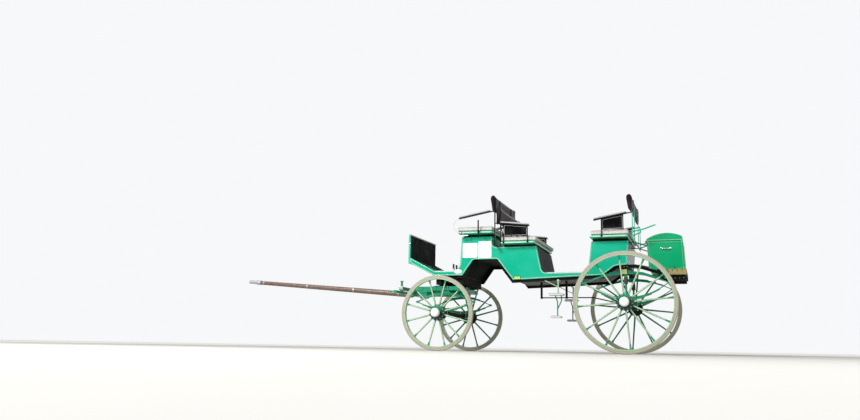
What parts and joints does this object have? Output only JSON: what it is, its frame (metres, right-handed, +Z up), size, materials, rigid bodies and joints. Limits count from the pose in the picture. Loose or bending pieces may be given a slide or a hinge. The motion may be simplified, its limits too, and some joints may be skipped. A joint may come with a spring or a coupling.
{
  "type": "horse drawn wagonette carriage",
  "caption": "Open horse-drawn carriage with large spoked wheels, cross benches with padded backrests, a steering fore-carriage with a pole, side steps and a lidded boot.",
  "frame": {"origin": "on the ground, below the centre of the whole carriage with its pole", "axes": "+Z up, +X towards the boot with the pole pointing to -X, -Y the carriage's left side"},
  "size_m": [5.995, 1.696, 1.905],
  "materials": {
    "body_paint": "gloss",
    "under_paint": "satin",
    "gear_paint": "gloss",
    "floor_covering": "matte",
    "dark_leather": "semi-gloss",
    "cushion_fabric": "matte",
    "tan_wood": "satin",
    "pole_wood": "satin",
    "bright_steel": "satin",
    "wheel_paint": "gloss",
    "tyre": "matte",
    "cap_paint": "gloss"
  },
  "bodies": {
    "carriage": {"body_side_left": "body_paint", "body_side_right": "body_paint", "front_floor": "floor_covering", "arch_panel": "under_paint", "rear_floor": "floor_covering", "dashboard": "body_paint", "dash_lining": "dark_leather", "dash_rail": "tan_wood", "whip_socket": "body_paint", "front_seat_box": "body_paint", "middle_seat_box": "body_paint", "rear_seat_box": "body_paint", "seat_risers": "under_paint", "seat_board_front": "body_paint", "seat_board_middle": "body_paint", "seat_board_rear": "body_paint", "cushion_front": "cushion_fabric", "cushion_middle": "cushion_fabric", "cushion_rear": "cushion_fabric", "backrest_front": "dark_leather", "backrest_middle": "dark_leather", "backrest_rear": "dark_leather", "armrests": "dark_leather", "seat_irons": "body_paint", "rear_irons": "body_paint", "hand_rails": "body_paint", "foot_brake": "bright_steel", "chassis_rail_left": "under_paint", "chassis_rail_right": "under_paint", "chassis_beams": "under_paint", "turntable_upper": "under_paint", "rear_springs": "gear_paint", "rear_axle": "under_paint", "brake_rod": "under_paint", "steps": "gear_paint", "boot_box": "body_paint", "boot_platform": "tan_wood", "boot_ties": "under_paint"},
    "boot_lid": {"boot_lid": "body_paint"},
    "fore_carriage": {"turntable_lower": "under_paint", "fore_frame": "gear_paint", "splinter_bar": "gear_paint", "pole": "pole_wood", "pole_head": "bright_steel", "front_springs": "gear_paint", "front_axle": "under_paint"},
    "swingletree_left": {"swingletree_left": "gear_paint"},
    "swingletree_right": {"swingletree_right": "gear_paint"},
    "wheel_front_left": {"wheel_front_left": "wheel_paint", "tyre_front_left": "tyre", "hub_cap_front_left": "cap_paint"},
    "wheel_front_right": {"wheel_front_right": "wheel_paint", "tyre_front_right": "tyre", "hub_cap_front_right": "cap_paint"},
    "wheel_rear_left": {"wheel_rear_left": "wheel_paint", "tyre_rear_left": "tyre", "hub_cap_rear_left": "cap_paint"},
    "wheel_rear_right": {"wheel_rear_right": "wheel_paint", "tyre_rear_right": "tyre", "hub_cap_rear_right": "cap_paint"}
  },
  "joints": [
    {"name": "steering", "type": "hinge", "parent": "carriage", "child": "fore_carriage", "pos_m": [0.1125, 0, 0.808], "axis": [0, 0, 1], "range_deg": [-70, 70]},
    {"name": "boot_lid_hinge", "type": "hinge", "parent": "carriage", "child": "boot_lid", "pos_m": [2.5565, 0, 1.305], "axis": [0, -1, 0], "range_deg": [0, 75]},
    {"name": "swingletree_left_pivot", "type": "hinge", "parent": "fore_carriage", "child": "swingletree_left", "pos_m": [-0.4875, -0.36, 0.726], "axis": [0, 0, 1], "range_deg": [-20, 20]},
    {"name": "swingletree_right_pivot", "type": "hinge", "parent": "fore_carriage", "child": "swingletree_right", "pos_m": [-0.4875, 0.36, 0.726], "axis": [0, 0, 1], "range_deg": [-20, 20]},
    {"name": "wheel_front_left_spin", "type": "hinge", "parent": "fore_carriage", "child": "wheel_front_left", "pos_m": [0.1125, -0.715, 0.455], "axis": [0, 1, 0], "continuous": true},
    {"name": "wheel_front_right_spin", "type": "hinge", "parent": "fore_carriage", "child": "wheel_front_right", "pos_m": [0.1125, 0.715, 0.455], "axis": [0, 1, 0], "continuous": true},
    {"name": "wheel_rear_left_spin", "type": "hinge", "parent": "carriage", "child": "wheel_rear_left", "pos_m": [2.3325, -0.74, 0.575], "axis": [0, 1, 0], "continuous": true},
    {"name": "wheel_rear_right_spin", "type": "hinge", "parent": "carriage", "child": "wheel_rear_right", "pos_m": [2.3325, 0.74, 0.575], "axis": [0, 1, 0], "continuous": true}
  ]
}
